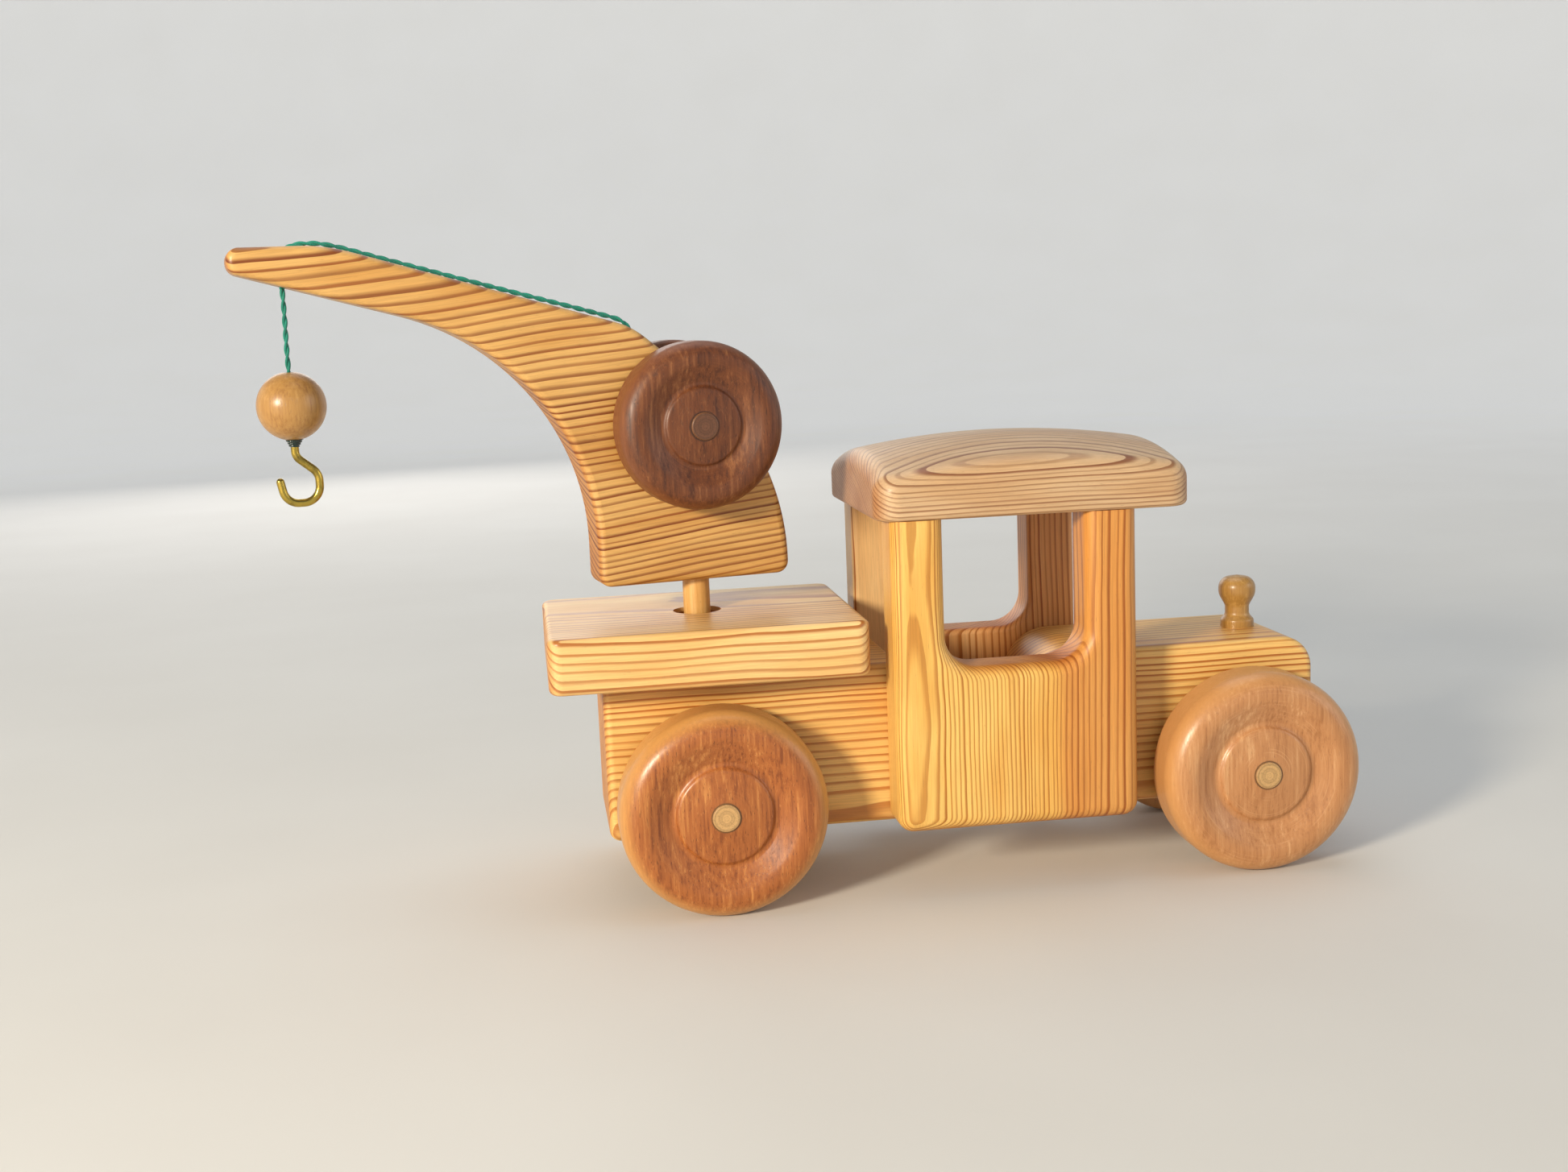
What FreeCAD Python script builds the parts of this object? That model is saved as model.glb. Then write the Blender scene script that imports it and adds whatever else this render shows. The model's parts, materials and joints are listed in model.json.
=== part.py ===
import FreeCAD, Part
import math
import os
import re

from FreeCAD import Rotation, Vector
from Sketcher import Constraint

# A wooden toy crane truck, in millimetres.
# The origin is on the ground, midway between the boom's tip and the front of the front wheels.
# +X points to the front of the truck, +Y to its left side and +Z up.
# Heights are measured from the ground. On the crane, distances along the boom are measured from its post.

SIZES = {
    # Stock
    "board_thickness": 20,
    "dowel_diameter": 10,
    "peg_diameter": 8,
    "peg_length": 24,
    "running_gap": 0.05,
    "glue_gap": 0.02,
    "axle_end_round": 0.6,
    "hole_spare": 1,
    "cut_spare": 2,
    # Road wheels and axles
    "wheelbase": 200,
    "rear_axle_x": -39,
    "wheel_diameter": 75,
    "wheel_width": 21,
    "wheel_side_gap": 4,
    "wheel_shoulder_apex": 25.5,
    "wheel_shoulder_round": 8,
    "wheel_inner_round": 3,
    "wheel_valley_radius": 18.5,
    "wheel_valley_height": 16.8,
    "wheel_hub_radius": 16.8,
    "wheel_hub_height": 18.6,
    "wheel_hub_round": 2,
    "wheel_nave_height": 20.2,
    # Chassis beam
    "beam_rear_x": -79,
    "beam_length": 268,
    "beam_width": 58,
    "beam_height": 59,
    "beam_bottom": 24.5,
    "beam_nose_round": 12,
    "beam_end_round": 4,
    "beam_edge_round": 3,
    "post_bore_bottom": 55,
    # The well sawn across the beam inside the cab, with a round shoulder up to the bonnet
    "cab_well_rear": 30,
    "cab_well_front": 83,
    "cab_well_floor": 61.5,
    "cab_well_shoulder": 18.5,
    "cab_well_floor_round": 3,
    "cab_well_rim_round": 1.5,
    # Crane platform
    "crane_x": -41,
    "platform_length": 114,
    "platform_width": 95,
    "platform_corner_round": 5,
    "platform_edge_round": 2.2,
    "platform_hole_diameter": 18,
    "platform_peg_spacing": 54,
    # Cab
    "cab_rear_x": 24,
    "cab_length": 90,
    "cab_top": 138,
    "cab_pillar_width": 19,
    "cab_sill_height": 84,
    "cab_corner_round": 6,
    "cab_window_round": 12,
    "cab_outer_round": 5.5,
    "cab_inner_round": 2.5,
    "cab_peg_height": 54,
    "cab_peg_spacing": 48,
    "roof_peg_entry": 9.5,
    # Roof
    "roof_rear_x": 18.8,
    "roof_length": 115.6,
    "roof_width": 100,
    "roof_peak": 165,
    "roof_corner_round": 9,
    "roof_top_round": 7.5,
    "roof_under_round": 2.2,
    "roof_crown_along": 300,
    "roof_crown_across": 170,
    "roof_plane_above": 20,
    # Radiator cap
    "cap_x": 170.5,
    "cap_peg_radius": 3,
    "cap_peg_length": 9,
    "cap_foot_radius": 6.4,
    "cap_foot_height": 3,
    "cap_foot_round": 1.4,
    "cap_neck_radius": 4.6,
    "cap_neck_bottom": 5,
    "cap_neck_top": 8.5,
    "cap_neck_round": 2.5,
    "cap_head_radius": 7.05,
    "cap_head_height": 13,
    "cap_head_round": 6,
    "cap_dome_height": 1.2,
    "cap_dome_round": 4.5,
    "cap_height": 20.4,
    # Crane block and boom
    "swivel_angle": 10,
    "crane_base": 116,
    "crane_front": 38,
    "crane_back": 34,
    "boom_reach": 158.62,
    "boom_top": 241,
    "boom_tip_under": 232.7,
    "boom_throat_height": 197.7,
    "boom_throat_round": 88,
    "boom_bend_along": 126.1,
    "boom_bend_round": 60,
    "boom_heel_along": 21.5,
    "boom_heel_height": 209.5,
    "boom_heel_round": 30,
    "boom_back_height": 162.9,
    "boom_back_round": 90,
    "boom_foot_round": 4.5,
    "boom_tip_round": 4.4,
    "boom_edge_round": 2.8,
    "post_socket_depth": 30,
    # Winch
    "winch_along": 1.4,
    "winch_height": 173.5,
    "winch_scale": 0.803,
    "winch_side_gap": 1.5,
    "slot_width": 8,
    "slot_mouth_along": 25,
    "slot_mouth_height": 222,
    "slot_heel_along": 11.8,
    "slot_floor_height": 164.5,
    "slot_back": 7.2,
    "slot_floor_round": 8.2,
    "winding_width": 7,
    "winding_round": 0.7,
    # Line and hook
    "line_diameter": 1.6,
    "line_hole_diameter": 3.2,
    "line_hole_top_along": 137.2,
    "line_hole_under_along": 140.7,
    "line_hole_under_height": 227.5,
    "line_hole_overrun": 4,
    "line_end_height": 187,
    "line_end_gap": 0.3,
    "bead_radius": 11.8,
    "bead_height": 187.2,
    "bead_flat_radius": 2.5,
    "bead_bore_radius": 1.7,
    "knot_top_radius": 3.2,
    "knot_bottom_radius": 1.75,
    "knot_length": 2.5,
    "hook_wire_diameter": 2.8,
}

# Routes in the boom's own plane: distance forward of the post, height, and the bend's radius.

# The taut line comes off the drum, out of the slot, over the boom's bend and down the hole at its tip.
LINE_ROUTE = [
    (-8.75, 174.8, 0),
    (-21.0, 210.2, 2.5),
    (-125.98, 241.86, 60.86),
    (-137.0, 241.86, 1.6),
    (-140.7, 227.5, 0),
]

# The hook's wire goes from inside the bead down into an open ring.
HOOK_ROUTE = [
    (-140.7, 186.5, 0),
    (-140.7, 169.8, 4.0),
    (-133.3, 163.6, 5.5),
    (-133.3, 153.7, 5.7),
    (-144.9, 153.7, 5.3),
    (-146.4, 161.3, 0),
]

doc = FreeCAD.newDocument("toy_crane_truck")
sheet = doc.addObject("Spreadsheet::Sheet", "Sizes")


def fill_sheet():
    """Write every driving dimension into the sheet, one aliased cell each."""
    for row, (alias, number) in enumerate(SIZES.items(), start=1):
        sheet.set(f"A{row}", alias)
        sheet.set(f"B{row}", str(number))
        sheet.setAlias(f"B{row}", alias)
    doc.recompute()


def bound(formula):
    """The formula with each size name pointing at its cell, ready for setExpression."""
    return re.sub(r"[a-z_]{3,}", lambda word: f"Sizes.{word[0]}" if word[0] in SIZES else word[0], formula)


def number(formula):
    """The formula's value with the sheet's present sizes."""
    return float(sheet.evalExpression(formula))


def bind(thing, **formulas):
    """Bind properties of a document object to formulas of named sizes."""
    for prop, formula in formulas.items():
        thing.setExpression(prop.replace("__", "."), bound(formula))


def place(thing, along_x="0", along_y="0", up="0", turn="0"):
    """Bind an object's position and its turn about the vertical."""
    bind(thing, Placement__Base__x=along_x, Placement__Base__y=along_y, Placement__Base__z=up)
    bind(thing, Placement__Rotation__Angle=turn)


def place_on_crane(thing, along="0", across="0", up="0", turn="0"):
    """Place an object by its distances along and across the swivelled boom."""
    place(
        thing,
        f"crane_x + ({along}) * cos(swivel_angle) - ({across}) * sin(swivel_angle)",
        f"({along}) * sin(swivel_angle) + ({across}) * cos(swivel_angle)",
        up,
        f"swivel_angle + ({turn})",
    )


# Sketches


def new_body(name):
    body = doc.addObject("PartDesign::Body", name)
    body.Label = name
    return body


def new_sketch(body, role, offset="0"):
    """A sketch on one of the body's own origin planes, raised by offset."""
    sketch = body.newObject("Sketcher::SketchObject", f"{body.Name}_sketch")
    support = next(plane for plane in body.Origin.OriginFeatures if plane.Role == role)
    sketch.AttachmentSupport = [(support, "")]
    sketch.MapMode = "FlatFace"
    if offset != "0":
        bind(sketch, AttachmentOffset__Base__z=offset)
    return sketch


def fix_point(sketch, geometry, vertex, corner):
    """Hold a sketch point at its two formulas."""
    for kind, axis, formula in (("DistanceX", -2, corner[0]), ("DistanceY", -1, corner[1])):
        distance = number(formula)
        if abs(distance) < 1e-9:
            sketch.addConstraint(Constraint("PointOnObject", geometry, vertex, axis))
        else:
            index = sketch.addConstraint(Constraint(kind, -1, 1, geometry, vertex, distance))
            sketch.setExpression(f"Constraints[{index}]", bound(formula))


def add_circle(sketch, x, y, radius):
    centre = Vector(number(x), number(y), 0)
    circle = sketch.addGeometry(Part.Circle(centre, Vector(0, 0, 1), number(radius)))
    index = sketch.addConstraint(Constraint("Radius", circle, number(radius)))
    sketch.setExpression(f"Constraints[{index}]", bound(radius))
    fix_point(sketch, circle, 3, (x, y))


def corner_arc(before, corner, after, radius):
    """Where a rounded corner's arc starts and ends, its arc, and whether it turns left."""
    inward = (before - corner).normalize()
    outward = (after - corner).normalize()
    half = inward.getAngle(outward) / 2
    reach = radius / math.tan(half)
    centre = corner + (inward + outward).normalize() * (radius / math.sin(half))
    start = corner + inward * reach
    end = corner + outward * reach
    turns_left = inward.cross(outward).z < 0
    first, last = (start, end) if turns_left else (end, start)
    angles = [math.atan2((point - centre).y, (point - centre).x) for point in (first, last)]
    arc = Part.ArcOfCircle(Part.Circle(centre, Vector(0, 0, 1), radius), *angles)
    return start, end, arc, turns_left


def rounded_outline(sketch, corners):
    """A closed outline of straight sides whose corners are (x, y, radius), each a formula."""
    points = [Vector(number(x), number(y), 0) for x, y, _ in corners]
    count = len(corners)
    starts = list(points)
    ends = list(points)
    arcs = {}
    for i, (_, _, radius) in enumerate(corners):
        if radius != "0":
            starts[i], ends[i], arc, turns_left = corner_arc(
                points[i - 1], points[i], points[(i + 1) % count], number(radius)
            )
            arcs[i] = (sketch.addGeometry(arc), turns_left)
    sides = [sketch.addGeometry(Part.LineSegment(ends[i], starts[(i + 1) % count])) for i in range(count)]
    for i, (x, y, radius) in enumerate(corners):
        before = sides[i - 1]
        after = sides[i]
        if i not in arcs:
            sketch.addConstraint(Constraint("Coincident", before, 2, after, 1))
            fix_point(sketch, after, 1, (x, y))
            continue
        arc, turns_left = arcs[i]
        arc_start, arc_end = (1, 2) if turns_left else (2, 1)
        sketch.addConstraint(Constraint("Tangent", before, 2, arc, arc_start))
        sketch.addConstraint(Constraint("Tangent", arc, arc_end, after, 1))
        index = sketch.addConstraint(Constraint("Radius", arc, number(radius)))
        sketch.setExpression(f"Constraints[{index}]", bound(radius))
        apex = sketch.addGeometry(Part.Point(points[i]), True)
        sketch.addConstraint(Constraint("PointOnObject", apex, 1, before))
        sketch.addConstraint(Constraint("PointOnObject", apex, 1, after))
        fix_point(sketch, apex, 1, (x, y))


def rectangle(sketch, low_x, low_y, high_x, high_y, radius="0"):
    corners = [(low_x, low_y), (high_x, low_y), (high_x, high_y), (low_x, high_y)]
    rounded_outline(sketch, [(x, y, radius) for x, y in corners])


# Features


def pad(body, sketch, length, symmetric=True):
    feature = body.newObject("PartDesign::Pad", f"{body.Name}_pad")
    feature.Profile = sketch
    feature.SideType = "Symmetric" if symmetric else "One side"
    bind(feature, Length=length)
    doc.recompute()
    return feature


def cut(body, sketch, length, direction="both"):
    """Cut a sketch out of the body: to both sides of its plane, forward or backward."""
    before = body.Shape.Volume
    feature = body.newObject("PartDesign::Pocket", f"{body.Name}_pocket")
    feature.Profile = sketch
    feature.SideType = "Symmetric" if direction == "both" else "One side"
    feature.Reversed = direction == "forward"
    bind(feature, Length=length)
    doc.recompute()
    if body.Shape.Volume > before - 1:
        raise RuntimeError(f"{feature.Name} cuts nothing")
    return feature


def groove(body, sketch, axis_start, axis_end):
    """Turn a sketch about an axis through two of its points, given as formulas, and cut that away."""
    before = body.Shape.Volume
    ends = [Vector(number(x), number(y), 0) for x, y in (axis_start, axis_end)]
    axis = sketch.addGeometry(Part.LineSegment(*ends), True)
    fix_point(sketch, axis, 1, axis_start)
    fix_point(sketch, axis, 2, axis_end)
    feature = body.newObject("PartDesign::Groove", f"{body.Name}_groove")
    feature.Profile = sketch
    feature.ReferenceAxis = (sketch, ["Axis0"])
    feature.Angle = 360
    doc.recompute()
    if body.Shape.Volume > before - 1:
        raise RuntimeError(f"{feature.Name} cuts nothing")


def turned(body, corners):
    """A turned piece: a profile of (radius, distance along the axis), spun about the body's Y axis."""
    sketch = new_sketch(body, "XY_Plane")
    rounded_outline(sketch, corners)
    feature = body.newObject("PartDesign::Revolution", f"{body.Name}_turning")
    feature.Profile = sketch
    feature.ReferenceAxis = (sketch, ["V_Axis"])
    feature.Angle = 360
    doc.recompute()
    return feature


def round_edges(body, radius, chosen):
    """Round the body's edges whose middle point passes the test."""
    edges = []
    for index, edge in enumerate(body.Shape.Edges, start=1):
        middle = edge.valueAt((edge.FirstParameter + edge.LastParameter) / 2)
        if chosen(middle):
            edges.append(f"Edge{index}")
    base = body.Tip
    feature = body.newObject("PartDesign::Fillet", f"{body.Name}_round")
    feature.Base = (base, edges)
    bind(feature, Radius=radius)
    doc.recompute()
    return feature


def near(value, formula):
    return abs(value - number(formula)) < 1e-3


# Truck


def make_chassis_beam():
    """The square beam with a well inside the cab, bored for axles, crane post, pegs and cap."""
    body = new_body("chassis_beam")
    side = new_sketch(body, "XZ_Plane")
    front = "beam_rear_x + beam_length"
    top = "beam_bottom + beam_height"
    rounded_outline(
        side,
        [
            ("beam_rear_x", "beam_bottom", "beam_end_round"),
            (front, "beam_bottom", "beam_end_round"),
            (front, top, "beam_nose_round"),
            ("cab_well_front", top, "cab_well_shoulder"),
            ("cab_well_front", "cab_well_floor", "cab_well_floor_round"),
            ("cab_well_rear", "cab_well_floor", "cab_well_floor_round"),
            ("cab_well_rear", top, "cab_well_rim_round"),
            ("beam_rear_x", top, "beam_end_round"),
        ],
    )
    pad(body, side, "beam_width")
    round_edges(body, "beam_edge_round", lambda point: near(abs(point.y), "beam_width / 2"))

    axles = new_sketch(body, "XZ_Plane")
    bore = "dowel_diameter / 2 + running_gap"
    add_circle(axles, "rear_axle_x", "wheel_diameter / 2", bore)
    add_circle(axles, "rear_axle_x + wheelbase", "wheel_diameter / 2", bore)
    cut(body, axles, "beam_width + cut_spare")

    post = new_sketch(body, "XY_Plane", top)
    add_circle(post, "crane_x", "0", bore)
    cut(body, post, f"{top} - post_bore_bottom", "backward")

    pegs = new_sketch(body, "XY_Plane", top)
    for x in platform_peg_places():
        add_circle(pegs, x, "0", "peg_diameter / 2 + glue_gap")
    cut(body, pegs, "peg_length / 2 + hole_spare", "backward")

    cap = new_sketch(body, "XY_Plane", top)
    add_circle(cap, "cap_x", "0", "cap_peg_radius + glue_gap")
    cut(body, cap, "cap_peg_length + hole_spare", "backward")

    for face, inward in (("beam_width / 2", "backward"), ("-beam_width / 2", "forward")):
        cab_pegs = new_sketch(body, "XZ_Plane", face)
        for x in cab_peg_places():
            add_circle(cab_pegs, x, "cab_peg_height", "peg_diameter / 2 + glue_gap")
        cut(body, cab_pegs, "peg_length / 2 + hole_spare", inward)
    return body


def platform_peg_places():
    return [f"crane_x {sign} platform_peg_spacing / 2" for sign in "-+"]


def cab_peg_places():
    return [f"cab_rear_x + cab_length / 2 {sign} cab_peg_spacing / 2" for sign in "-+"]


def make_platform():
    """The board that the crane turns over, with a wide hole round the post."""
    body = new_body("platform")
    plan = new_sketch(body, "XY_Plane", "beam_bottom + beam_height")
    half_length = "platform_length / 2"
    half_width = "platform_width / 2"
    rectangle(
        plan,
        f"crane_x - {half_length}",
        f"-{half_width}",
        f"crane_x + {half_length}",
        half_width,
        "platform_corner_round",
    )
    pad(body, plan, "board_thickness", symmetric=False)
    round_edges(
        body,
        "platform_edge_round",
        lambda point: not near(point.z, "beam_bottom + beam_height + board_thickness / 2"),
    )
    hole = new_sketch(body, "XY_Plane", "beam_bottom + beam_height")
    add_circle(hole, "crane_x", "0", "platform_hole_diameter / 2")
    cut(body, hole, "board_thickness", "forward")
    pegs = new_sketch(body, "XY_Plane", "beam_bottom + beam_height")
    for x in platform_peg_places():
        add_circle(pegs, x, "0", "peg_diameter / 2 + glue_gap")
    cut(body, pegs, "peg_length / 2 + hole_spare", "forward")
    return body


def make_cab_side(name, side):
    """A side board with an open-topped window between two pillars. side is 1 on the left, -1 on the right."""
    body = new_body(name)
    outline = new_sketch(body, "XZ_Plane", f"-{side} * (beam_width + board_thickness) / 2")
    rear = "cab_rear_x"
    front = "cab_rear_x + cab_length"
    window_rear = "cab_rear_x + cab_pillar_width"
    window_front = "cab_rear_x + cab_length - cab_pillar_width"
    rounded_outline(
        outline,
        [
            (rear, "beam_bottom", "cab_corner_round"),
            (front, "beam_bottom", "cab_corner_round"),
            (front, "cab_top", "0"),
            (window_front, "cab_top", "0"),
            (window_front, "cab_sill_height", "cab_window_round"),
            (window_rear, "cab_sill_height", "cab_window_round"),
            (window_rear, "cab_top", "0"),
            (rear, "cab_top", "0"),
        ],
    )
    pad(body, outline, "board_thickness")

    def on_face(distance):
        return lambda point: near(side * point.y, distance) and not near(point.z, "cab_top")

    round_edges(body, "cab_outer_round", on_face("beam_width / 2 + board_thickness"))
    round_edges(body, "cab_inner_round", on_face("beam_width / 2"))

    pegs = new_sketch(body, "XZ_Plane", f"-{side} * beam_width / 2")
    for x in cab_peg_places():
        add_circle(pegs, x, "cab_peg_height", "peg_diameter / 2 + glue_gap")
    cut(body, pegs, "peg_length / 2 + hole_spare", "forward" if side < 0 else "backward")

    roof_pegs = new_sketch(body, "XY_Plane", "cab_top")
    for x in roof_peg_places():
        across = f"{side} * (beam_width + board_thickness) / 2"
        add_circle(roof_pegs, x, across, "peg_diameter / 2 + glue_gap")
    cut(body, roof_pegs, "peg_length - roof_peg_entry + hole_spare", "backward")
    return body


def roof_peg_places():
    return ["cab_rear_x + cab_pillar_width / 2", "cab_rear_x + cab_length - cab_pillar_width / 2"]


def make_roof():
    """A thick board crowned both ways, its rim rounded over."""
    body = new_body("cab_roof")
    plan = new_sketch(body, "XY_Plane", "cab_top")
    rectangle(
        plan,
        "roof_rear_x",
        "-roof_width / 2",
        "roof_rear_x + roof_length",
        "roof_width / 2",
        "roof_corner_round",
    )
    pad(body, plan, "roof_peak - cab_top", symmetric=False)
    crown_roof(body)
    round_edges(body, "roof_top_round", lambda point: point.z > number("(cab_top + roof_peak) / 2"))
    round_edges(body, "roof_under_round", lambda point: near(point.z, "cab_top"))
    pegs = new_sketch(body, "XY_Plane", "cab_top")
    for x in roof_peg_places():
        for side in ("", "-"):
            across = f"{side}(beam_width + board_thickness) / 2"
            add_circle(pegs, x, across, "peg_diameter / 2 + glue_gap")
    cut(body, pegs, "roof_peg_entry + hole_spare", "forward")
    return body


def crown_roof(body):
    """Plane the top to an arc across the roof that is swept along a larger arc from back to front."""
    section = new_sketch(body, "YZ_Plane", "roof_rear_x + roof_length / 2")
    radius = number("roof_crown_across")
    reach = number("roof_width / 2 + cut_spare")
    above = number("roof_peak + roof_plane_above")
    centre = Vector(0, number("roof_peak") - radius, 0)
    half_angle = math.asin(reach / radius)
    circle = Part.Circle(centre, Vector(0, 0, 1), radius)
    arc = Part.ArcOfCircle(circle, math.pi / 2 - half_angle, math.pi / 2 + half_angle)
    corners = [arc.StartPoint, Vector(reach, above, 0), Vector(-reach, above, 0), arc.EndPoint]
    crown = section.addGeometry(arc)
    right, top, left = [section.addGeometry(Part.LineSegment(*ends)) for ends in zip(corners, corners[1:])]
    section.addConstraint(Constraint("Coincident", crown, 1, right, 1))
    section.addConstraint(Constraint("Coincident", right, 2, top, 1))
    section.addConstraint(Constraint("Coincident", top, 2, left, 1))
    section.addConstraint(Constraint("Coincident", left, 2, crown, 2))
    section.addConstraint(Constraint("Vertical", right))
    section.addConstraint(Constraint("Vertical", left))
    index = section.addConstraint(Constraint("Radius", crown, radius))
    section.setExpression(f"Constraints[{index}]", bound("roof_crown_across"))
    fix_point(section, crown, 3, ("0", "roof_peak - roof_crown_across"))
    fix_point(section, top, 1, ("roof_width / 2 + cut_spare", "roof_peak + roof_plane_above"))
    fix_point(section, top, 2, ("-roof_width / 2 - cut_spare", "roof_peak + roof_plane_above"))
    axis_height = "roof_peak - roof_crown_along"
    groove(body, section, ("-cut_spare", axis_height), ("cut_spare", axis_height))


def make_radiator_cap():
    """A turned knob: peg, foot, waist and domed head."""
    body = new_body("radiator_cap")
    turned(
        body,
        [
            ("0", "-cap_peg_length", "0"),
            ("cap_peg_radius", "-cap_peg_length", "0"),
            ("cap_peg_radius", "0", "0"),
            ("cap_foot_radius", "0", "0"),
            ("cap_foot_radius", "cap_foot_height", "cap_foot_round"),
            ("cap_neck_radius", "cap_neck_bottom", "cap_neck_round"),
            ("cap_neck_radius", "cap_neck_top", "cap_neck_round"),
            ("cap_head_radius", "cap_head_height", "cap_head_round"),
            ("cap_head_radius", "cap_height - cap_dome_height", "cap_dome_round"),
            ("0", "cap_height", "0"),
        ],
    )
    body.Placement.Rotation = Rotation(Vector(1, 0, 0), 90)
    bind(body, Placement__Base__x="cap_x", Placement__Base__z="beam_bottom + beam_height")
    return body


def make_pegs(name, places):
    """A set of hidden glue pegs, one cylinder each, from (x, y, z, direction) of their lower ends."""
    pegs = []
    for index, (x, y, z, direction) in enumerate(places, start=1):
        peg = doc.addObject("Part::Cylinder", f"{name}_{index}")
        bind(peg, Radius="peg_diameter / 2", Height="peg_length")
        if direction == "y":
            peg.Placement.Rotation = Rotation(Vector(1, 0, 0), -90)
        bind(peg, Placement__Base__x=x, Placement__Base__y=y, Placement__Base__z=z)
        pegs.append(peg)
    group = doc.addObject("Part::Compound", name)
    group.Label = name
    group.Links = pegs
    return group


def make_all_pegs():
    beam_top = "beam_bottom + beam_height"
    half = "peg_length / 2"
    under_platform = [(x, "0", f"{beam_top} - {half}", "z") for x in platform_peg_places()]
    in_cab = [
        (x, f"{side} * beam_width / 2 - {half}", "cab_peg_height", "y")
        for x in cab_peg_places()
        for side in (-1, 1)
    ]
    under_roof = [
        (x, f"{side} * (beam_width + board_thickness) / 2", "cab_top - peg_length + roof_peg_entry", "z")
        for x in roof_peg_places()
        for side in (-1, 1)
    ]
    return [
        make_pegs("platform_pegs", under_platform),
        make_pegs("cab_side_pegs", in_cab),
        make_pegs("roof_pegs", under_roof),
    ]


# Wheels and axles


def make_wheel(name, scale="1"):
    """A turned wheel with a rounded tyre, a dished face and a low hub. Its inner face is at y = 0."""
    body = new_body(name)

    def scaled(size):
        return f"{size} * {scale}"

    bore = "dowel_diameter / 2 + glue_gap"
    turned(
        body,
        [
            (bore, "0", "0"),
            (scaled("wheel_diameter / 2"), "0", scaled("wheel_inner_round")),
            (scaled("wheel_diameter / 2"), scaled("wheel_shoulder_apex"), scaled("wheel_shoulder_round")),
            (scaled("wheel_valley_radius"), scaled("wheel_valley_height"), scaled("wheel_hub_round")),
            (scaled("wheel_hub_radius"), scaled("wheel_hub_height"), scaled("wheel_hub_round")),
            (bore, scaled("wheel_nave_height"), "0"),
        ],
    )
    return body


def make_cross_axle(name, length):
    """A dowel along Y with eased ends, centred on its own origin."""
    body = new_body(name)
    section = new_sketch(body, "XZ_Plane")
    add_circle(section, "0", "0", "dowel_diameter / 2")
    pad(body, section, length)
    round_edges(body, "axle_end_round", lambda point: near(abs(point.y), f"({length}) / 2"))
    return body


def make_road_wheels(end, axle_x):
    """One axle with a wheel glued on each end."""
    axle = make_cross_axle(f"{end}_axle", "beam_width + 2 * (wheel_side_gap + wheel_width)")
    place(axle, axle_x, "0", "wheel_diameter / 2")
    right = make_wheel(f"{end}_wheel_right")
    place(right, axle_x, "-beam_width / 2 - wheel_side_gap", "wheel_diameter / 2", "180")
    left = make_wheel(f"{end}_wheel_left")
    place(left, axle_x, "beam_width / 2 + wheel_side_gap", "wheel_diameter / 2")
    return [axle, right, left]


# Crane


def make_crane_boom():
    """The block and boom, sawn from one board, with the post's socket, winch bore, slot and line hole."""
    body = new_body("crane_boom")
    side = new_sketch(body, "XZ_Plane")
    rounded_outline(
        side,
        [
            ("crane_back", "crane_base", "boom_foot_round"),
            ("crane_back", "boom_back_height", "boom_back_round"),
            ("-boom_heel_along", "boom_heel_height", "boom_heel_round"),
            ("-boom_bend_along", "boom_top", "boom_bend_round"),
            ("-boom_reach", "boom_top", "boom_tip_round"),
            ("-boom_reach", "boom_tip_under", "boom_tip_round"),
            ("-crane_front", "boom_throat_height", "boom_throat_round"),
            ("-crane_front", "crane_base", "boom_foot_round"),
        ],
    )
    pad(body, side, "board_thickness")
    round_edges(body, "boom_edge_round", lambda point: near(abs(point.y), "board_thickness / 2"))

    socket = new_sketch(body, "XY_Plane", "crane_base")
    add_circle(socket, "0", "0", "dowel_diameter / 2 + glue_gap")
    cut(body, socket, "post_socket_depth + hole_spare", "forward")

    winch = new_sketch(body, "XZ_Plane")
    add_circle(winch, "-winch_along", "winch_height", "dowel_diameter / 2 + running_gap")
    cut(body, winch, "board_thickness + cut_spare")

    slot = new_sketch(body, "XZ_Plane")
    rounded_outline(
        slot,
        [
            ("-slot_heel_along", "slot_floor_height", "slot_floor_round"),
            ("slot_back", "slot_floor_height", "slot_floor_round"),
            ("slot_back", "slot_mouth_height", "0"),
            ("-slot_mouth_along", "slot_mouth_height", "0"),
        ],
    )
    cut(body, slot, "slot_width")
    cut_line_hole(body)
    place_on_crane(body)
    return body


def cut_line_hole(body):
    """Drill the tip for the line, square to the boom's sloping underside."""
    section = new_sketch(body, "XZ_Plane")
    lean = "(line_hole_under_along - line_hole_top_along) / (boom_top - line_hole_under_height)"
    low = "(line_hole_under_height - line_hole_overrun)"
    high = "(boom_top + line_hole_overrun)"
    axis_low = f"-line_hole_top_along - (boom_top - {low}) * {lean}"
    axis_high = f"-line_hole_top_along - (boom_top - {high}) * {lean}"
    half = "line_hole_diameter / 2"
    rounded_outline(
        section,
        [
            (axis_low, low, "0"),
            (f"{axis_low} + {half}", low, "0"),
            (f"{axis_high} + {half}", high, "0"),
            (axis_high, high, "0"),
        ],
    )
    groove(body, section, (axis_low, low), (axis_high, high))


def make_crane_post():
    """The dowel glued into the block, standing on the floor of the beam's bore."""
    body = new_body("crane_post")
    section = new_sketch(body, "XY_Plane", "post_bore_bottom")
    add_circle(section, "0", "0", "dowel_diameter / 2")
    pad(body, section, "crane_base + post_socket_depth - post_bore_bottom", symmetric=False)
    place_on_crane(body)
    return body


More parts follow.
